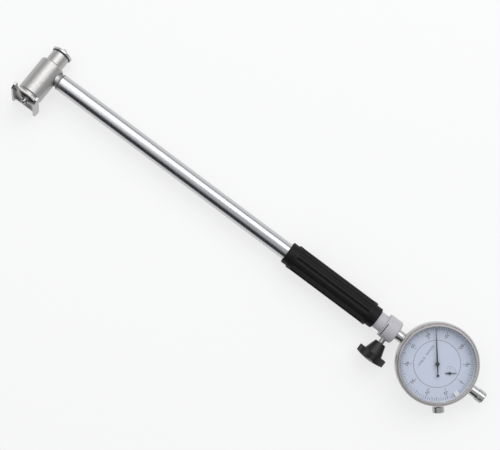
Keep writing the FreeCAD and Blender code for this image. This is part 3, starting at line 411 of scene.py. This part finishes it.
# Ticks, numerals and the small red numerals that count the other way, all turning with the bezel.
def buildScalePrint():
    size = dialPrint
    meshes = []
    for count, length, width in size["ticks"]:
        ring = barRingMesh("ticks", "inkBlack", Count=count,
                           Radius=(size["outer"] - length / 2) * mm,
                           Height=size["height"] * mm,
                           Size=(length * mm, width * mm, size["tickDepth"] * mm))
        meshes.append((ring, Matrix.Translation(dialCentre)))
    step = 100 // size["numerals"]
    for index in range(size["numerals"]):
        clockwise = 360 * index / size["numerals"]
        number = textMesh(str(step * index), size["numeralSize"], "inkBlack")
        meshes.append((number, dialSpot(clockwise, size["numeralRadius"], size["height"])))
        reverse = textMesh(str((100 - step * index) % 100), size["reverseSize"], "inkRed")
        meshes.append((reverse, dialSpot(clockwise, size["reverseRadius"], size["height"])))
    addPiece("scalePrint", joinedMesh("scalePrint", meshes), "bezel")


# The note, the counter's arc and digits, and a grey ring of painted shade over the gap where the
# fixed disc meets the scale.
def buildCentrePrint():
    size = dialPrint
    counter = counterPrint
    angles = counter["digitAngles"]
    counterCentre = Matrix.Translation(dialCentre + Vector((counter["up"] * mm, 0, 0)))
    meshes = [(textMesh(size["note"], size["noteSize"], "inkBlack"),
               dialSpot(180, size["noteDrop"], size["height"]))]
    arc = arcMesh("counterArc", counter["arcRadius"], counter["arcWidth"], angles[0], angles[-1],
                  counter["arcSteps"], "inkBlack")
    meshes.append((arc, counterCentre))
    upright = Matrix.Rotation(math.radians(-90), 4, "Z")
    radius = counter["digitRadius"]
    for index, degrees in enumerate(angles):
        angle = math.radians(degrees)
        digit = textMesh(str(index), counter["digitSize"], "inkBlack")
        spot = Vector((radius * math.cos(angle), radius * math.sin(angle), size["height"])) * mm
        meshes.append((digit, counterCentre @ Matrix.Translation(spot) @ upright))
    # A grey ring of painted shade over the gap where the fixed disc meets the scale.
    seamShade = arcMesh("seamShade", size["seamShadeRadius"], size["seamShadeWidth"], 0, 360, size["seamShadeSteps"],
                   "paintedSeamShade")
    meshes.append((seamShade, Matrix.Translation(dialCentre)))
    addPiece("centrePrintAndSeamShade", joinedMesh("centrePrintAndSeamShade", meshes), "dial")


buildScalePrint()
buildCentrePrint()
print("dial print ready")

knurls = {
    "cap": {"count": 36, "radius": 4.3, "length": 4.4, "middle": 39.6, "ridge": 0.5},
    "lock": {"count": 34, "radius": 4.1, "length": 3.2, "middle": 33.5, "ridge": 0.5,
             "swing": -49.6, "height": -1.5},
    "nut": {"count": 60, "radius": 7.6, "length": 1.1, "middle": 17.3, "ridge": 0.5},
    "sunk": 0.62,        # how deep a ridge's middle lies under the surface, as a share of its side
}


# Straight knurling round the Z axis: square ridges set on edge, most of each sunk in the surface.
def knurlMesh(name, size):
    side = size["ridge"] * mm
    return barRingMesh(name, "groundSteel", Count=size["count"],
                       Radius=size["radius"] * mm - side * knurls["sunk"],
                       Height=0.0, Size=(side, side, size["length"] * mm), Twist=math.pi / 4)


def buildKnurls():
    alongX = Matrix.Rotation(math.radians(90), 4, "Y")
    alongY = Matrix.Rotation(math.radians(90), 4, "X")
    size = knurls["cap"]
    mesh = knurlMesh("capKnurl", size)
    mesh.transform(Matrix.Translation(dialCentre + Vector((size["middle"] * mm, 0, 0))) @ alongX)
    addPiece("capKnurl", mesh, "dial")
    size = knurls["lock"]
    mesh = knurlMesh("lockKnurl", size)
    mesh.transform(Matrix.Translation(dialCentre + Vector((0, 0, size["height"] * mm)))
                   @ Matrix.Rotation(math.radians(size["swing"]), 4, "Z")
                   @ Matrix.Translation(Vector((size["middle"] * mm, 0, 0))) @ alongX)
    addPiece("lockKnurl", mesh, "lock")
    size = knurls["nut"]
    mesh = knurlMesh("nutKnurl", size)
    mesh.transform(headPlace @ Matrix.Translation(Vector((0, size["middle"] * mm, 0))) @ alongY)
    addPiece("nutKnurl", mesh, "gauge")


buildKnurls()
print("knurls ready")

thread = {
    "radius": 1.97,
    "pitch": 0.7,
    "start": 8.95,       # from the stem's axis
    "end": 12.0,
    "crest": 0.16,       # over the radius
    "root": -0.05,
    "flank": 0.3,        # half the ridge's foot, as a share of the pitch
    "steps": 40,         # for each turn
}


# A helical ridge on the clamp screw, where it shows between the clamp and the knob.
def buildThread():
    size = thread
    made = bmesh.new()
    reach = size["end"] - size["start"]
    count = int(reach / size["pitch"] * size["steps"])
    flank = size["flank"] * size["pitch"]
    rows = []
    for step in range(count + 1):
        angle = 2 * math.pi * step / size["steps"]
        along = size["start"] + reach * step / count
        row = []
        for out, shift in ((size["root"], -flank), (size["crest"], 0), (size["root"], flank)):
            radius = size["radius"] + out
            spot = Vector((place["screwX"] + radius * math.cos(angle), -along - shift,
                           radius * math.sin(angle)))
            row.append(made.verts.new(spot * mm))
        rows.append(row)
    for low, high in zip(rows, rows[1:]):
        made.faces.new((low[0], low[1], high[1], high[0]))
        made.faces.new((low[1], low[2], high[2], high[1]))
    mesh = bpy.data.meshes.new("screwThread")
    made.to_mesh(mesh)
    made.free()
    addPiece("screwThread", dressMesh(mesh, "groundSteel"), "knob")


buildThread()
print("screw thread ready")

springs = {
    "bridgeCoil": {"node": "bridge_spring", "joint": "bridge_slide", "travel": 2.0},
    "rodCoil": {"node": "rod_spring", "joint": "rod_slide", "travel": 1.6},
}


# Each coil is a copy of its spring node's mesh, fixed to the gauge, with the node hidden.
def buildSprings():
    for name, size in springs.items():
        mesh = dressMesh(nodes[size["node"]].data.copy(), "springSteel")
        piece = addPiece(name, mesh, "gauge")
        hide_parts(size["node"])
        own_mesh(piece)


buildSprings()
print("springs ready")

edges = {
    "weld": 1e-6,
    "smoothAngle": 32,
    "bevelAngle": 38,
    "segments": 2,
    "widths": {
        "head_body": 0.25, "anvil_socket": 0.2, "anvil_lock_nut": 0.12, "fixed_anvil": 0.1,
        "guide_bridge": 0.18, "stem_collar": 0.15, "clamp_sleeve": 0.2, "star_knob": 0.45,
        "grip_sleeve": 0.25, "bezel_ring": 0.1, "dial_case": 0.2, "guard_tube": 0.12,
        "guard_cap": 0.15, "bezel_lock_screw": 0.15, "dial_stem": 0.15, "movable_contact": 0.1,
        "contact_point": 0.15, "tolerance_marker": 0.06, "back_cover": 0.15,
    },
}


# Smooth faces, kept sharp along the edges that turn by more than the angle.
def sharpByAngleGroup():
    group = bpy.data.node_groups.new("sharpByAngle", "GeometryNodeTree")
    addSocket(group, "Mesh", "NodeSocketGeometry", None)
    addSocket(group, "Angle", "NodeSocketFloat", math.radians(edges["smoothAngle"]))
    addSocket(group, "Mesh", "NodeSocketGeometry", None, "OUTPUT")
    given = group.nodes.new("NodeGroupInput").outputs
    smooth = group.nodes.new("GeometryNodeSetShadeSmooth")
    sharp = group.nodes.new("GeometryNodeSetShadeSmooth")
    sharp.domain = "EDGE"
    sharp.inputs["Shade Smooth"].default_value = False
    angle = group.nodes.new("GeometryNodeInputMeshEdgeAngle")
    over = group.nodes.new("ShaderNodeMath")
    over.operation = "GREATER_THAN"
    out = group.nodes.new("NodeGroupOutput")
    group.links.new(given["Mesh"], smooth.inputs["Geometry"])
    group.links.new(smooth.outputs[0], sharp.inputs["Geometry"])
    group.links.new(angle.outputs[0], over.inputs[0])
    group.links.new(given["Angle"], over.inputs[1])
    group.links.new(over.outputs[0], sharp.inputs["Selection"])
    group.links.new(sharp.outputs[0], out.inputs["Mesh"])
    return group


sharpByAngle = sharpByAngleGroup()


def softenNode(name):
    node = nodes[name]
    weld = node.modifiers.new("Weld", "WELD")
    weld.merge_threshold = edges["weld"]
    shade = node.modifiers.new("Shade", "NODES")
    shade.node_group = sharpByAngle
    if name in edges["widths"]:
        bevel = node.modifiers.new("Bevel", "BEVEL")
        bevel.width = edges["widths"][name] * mm
        bevel.segments = edges["segments"]
        bevel.limit_method = "ANGLE"
        bevel.angle_limit = math.radians(edges["bevelAngle"])
        bevel.use_clamp_overlap = True
        bevel.harden_normals = True


for nodeName in nodes:
    softenNode(nodeName)
print("edges ready")

view = {
    "turn": 36.8,                # degrees that the picture is turned from +X
    "middle": (167.8, -0.6),
    "height": 1000.0,
    "widthSeen": 354.6,
    "sensor": 36,
    "clip": (0.01, 50),
}
floorLook = {"side": 8, "x": 0.17, "drop": 0.02, "white": 0.93, "roughness": 0.9, "gloss": 0.1,
             "glow": 0.7}
flag = {"distance": 0.75, "rise": 0.42, "length": 2.4, "tall": 0.85, "lean": 20,
        "colour": (0.02, 0.02, 0.022), "roughness": 0.9}
lamps = {
    "keyLight": {"spot": (0.55, 0.75, 1.1), "size": (1.4, 1.0), "watts": 9},
    "topLight": {"spot": (-0.5, 0.6, 1.4), "size": (1.2, 1.2), "watts": 5},
}
sky = {"colour": (0.95, 0.97, 1, 1), "strength": 0.5}


# A pale floor that part glows, for the camera and for what reflects it, and still takes a shadow.
def buildFloor():
    low = place["restZ"] * mm - floorLook["drop"] * mm
    bpy.ops.mesh.primitive_plane_add(size=floorLook["side"], location=(floorLook["x"], 0, low))
    floor = bpy.context.object
    floor.name = "studioFloor"
    material, tree, shader = newMaterial("studioFloor")
    white = floorLook["white"]
    setInputs(shader, {"Base Color": (white, white, white, 1), "Roughness": floorLook["roughness"],
                       "Specular IOR Level": floorLook["gloss"]})
    glow = tree.nodes.new("ShaderNodeEmission")
    glow.inputs["Color"].default_value = (1, 1, 1, 1)
    paths = tree.nodes.new("ShaderNodeLightPath")
    seen = larger(tree, paths.outputs["Is Camera Ray"], paths.outputs["Is Transmission Ray"])
    seen = larger(tree, seen, paths.outputs["Is Glossy Ray"])
    share = tree.nodes.new("ShaderNodeMath")
    share.operation = "MULTIPLY"
    share.inputs[1].default_value = floorLook["glow"]
    tree.links.new(seen, share.inputs[0])
    mixInto(tree, share.outputs[0], shader.outputs[0], glow.outputs[0])
    floor.data.materials.append(material)


# A place in the picture's own directions, in metres from its middle.
def viewSpot(right, up, height):
    turn = math.radians(view["turn"])
    x = right * math.cos(turn) - up * math.sin(turn)
    y = right * math.sin(turn) + up * math.cos(turn)
    return Vector((x + view["middle"][0] * mm, y + view["middle"][1] * mm, height))


def buildLamps():
    for name, size in lamps.items():
        lamp = bpy.data.lights.new(name, "AREA")
        lamp.shape = "RECTANGLE"
        lamp.size = size["size"][0]
        lamp.size_y = size["size"][1]
        lamp.energy = size["watts"]
        holder = bpy.data.objects.new(name, lamp)
        bpy.context.scene.collection.objects.link(holder)
        holder.location = viewSpot(*size["spot"])
        aim = viewSpot(0, 0, 0) - holder.location
        holder.rotation_euler = aim.to_track_quat("-Z", "Y").to_euler()


# A dark card beside the stem, seen only in reflections.
def buildFlag():
    side = Vector((view["middle"][0] * mm, -flag["distance"], flag["rise"]))
    bpy.ops.mesh.primitive_plane_add(size=1, location=side)
    card = bpy.context.object
    card.name = "studioFlag"
    card.scale = (flag["length"], flag["tall"], 1)
    card.rotation_euler = (math.radians(90 - flag["lean"]), 0, 0)
    card.visible_camera = False
    card.visible_diffuse = False
    card.visible_shadow = False
    card.visible_transmission = False
    card.data.materials.append(coated("studioFlag", flag["colour"], flag["roughness"]))


def buildSky():
    world = bpy.data.worlds.new("studioWorld")
    bpy.context.scene.world = world
    world.use_nodes = True
    setInputs(world.node_tree.nodes["Background"], {"Color": sky["colour"],
                                                    "Strength": sky["strength"]})


def buildCamera():
    lens = bpy.data.cameras.new("camera")
    lens.sensor_width = view["sensor"]
    lens.lens = view["sensor"] * view["height"] / view["widthSeen"]
    lens.clip_start = view["clip"][0]
    lens.clip_end = view["clip"][1]
    camera = bpy.data.objects.new("camera", lens)
    bpy.context.scene.collection.objects.link(camera)
    camera.location = viewSpot(0, 0, view["height"] * mm)
    camera.rotation_euler = (0, 0, math.radians(view["turn"]))
    bpy.context.scene.camera = camera


buildFloor()
buildFlag()
buildLamps()
buildSky()
buildCamera()
bpy.context.scene.view_settings.view_transform = "Standard"
print("studio ready")
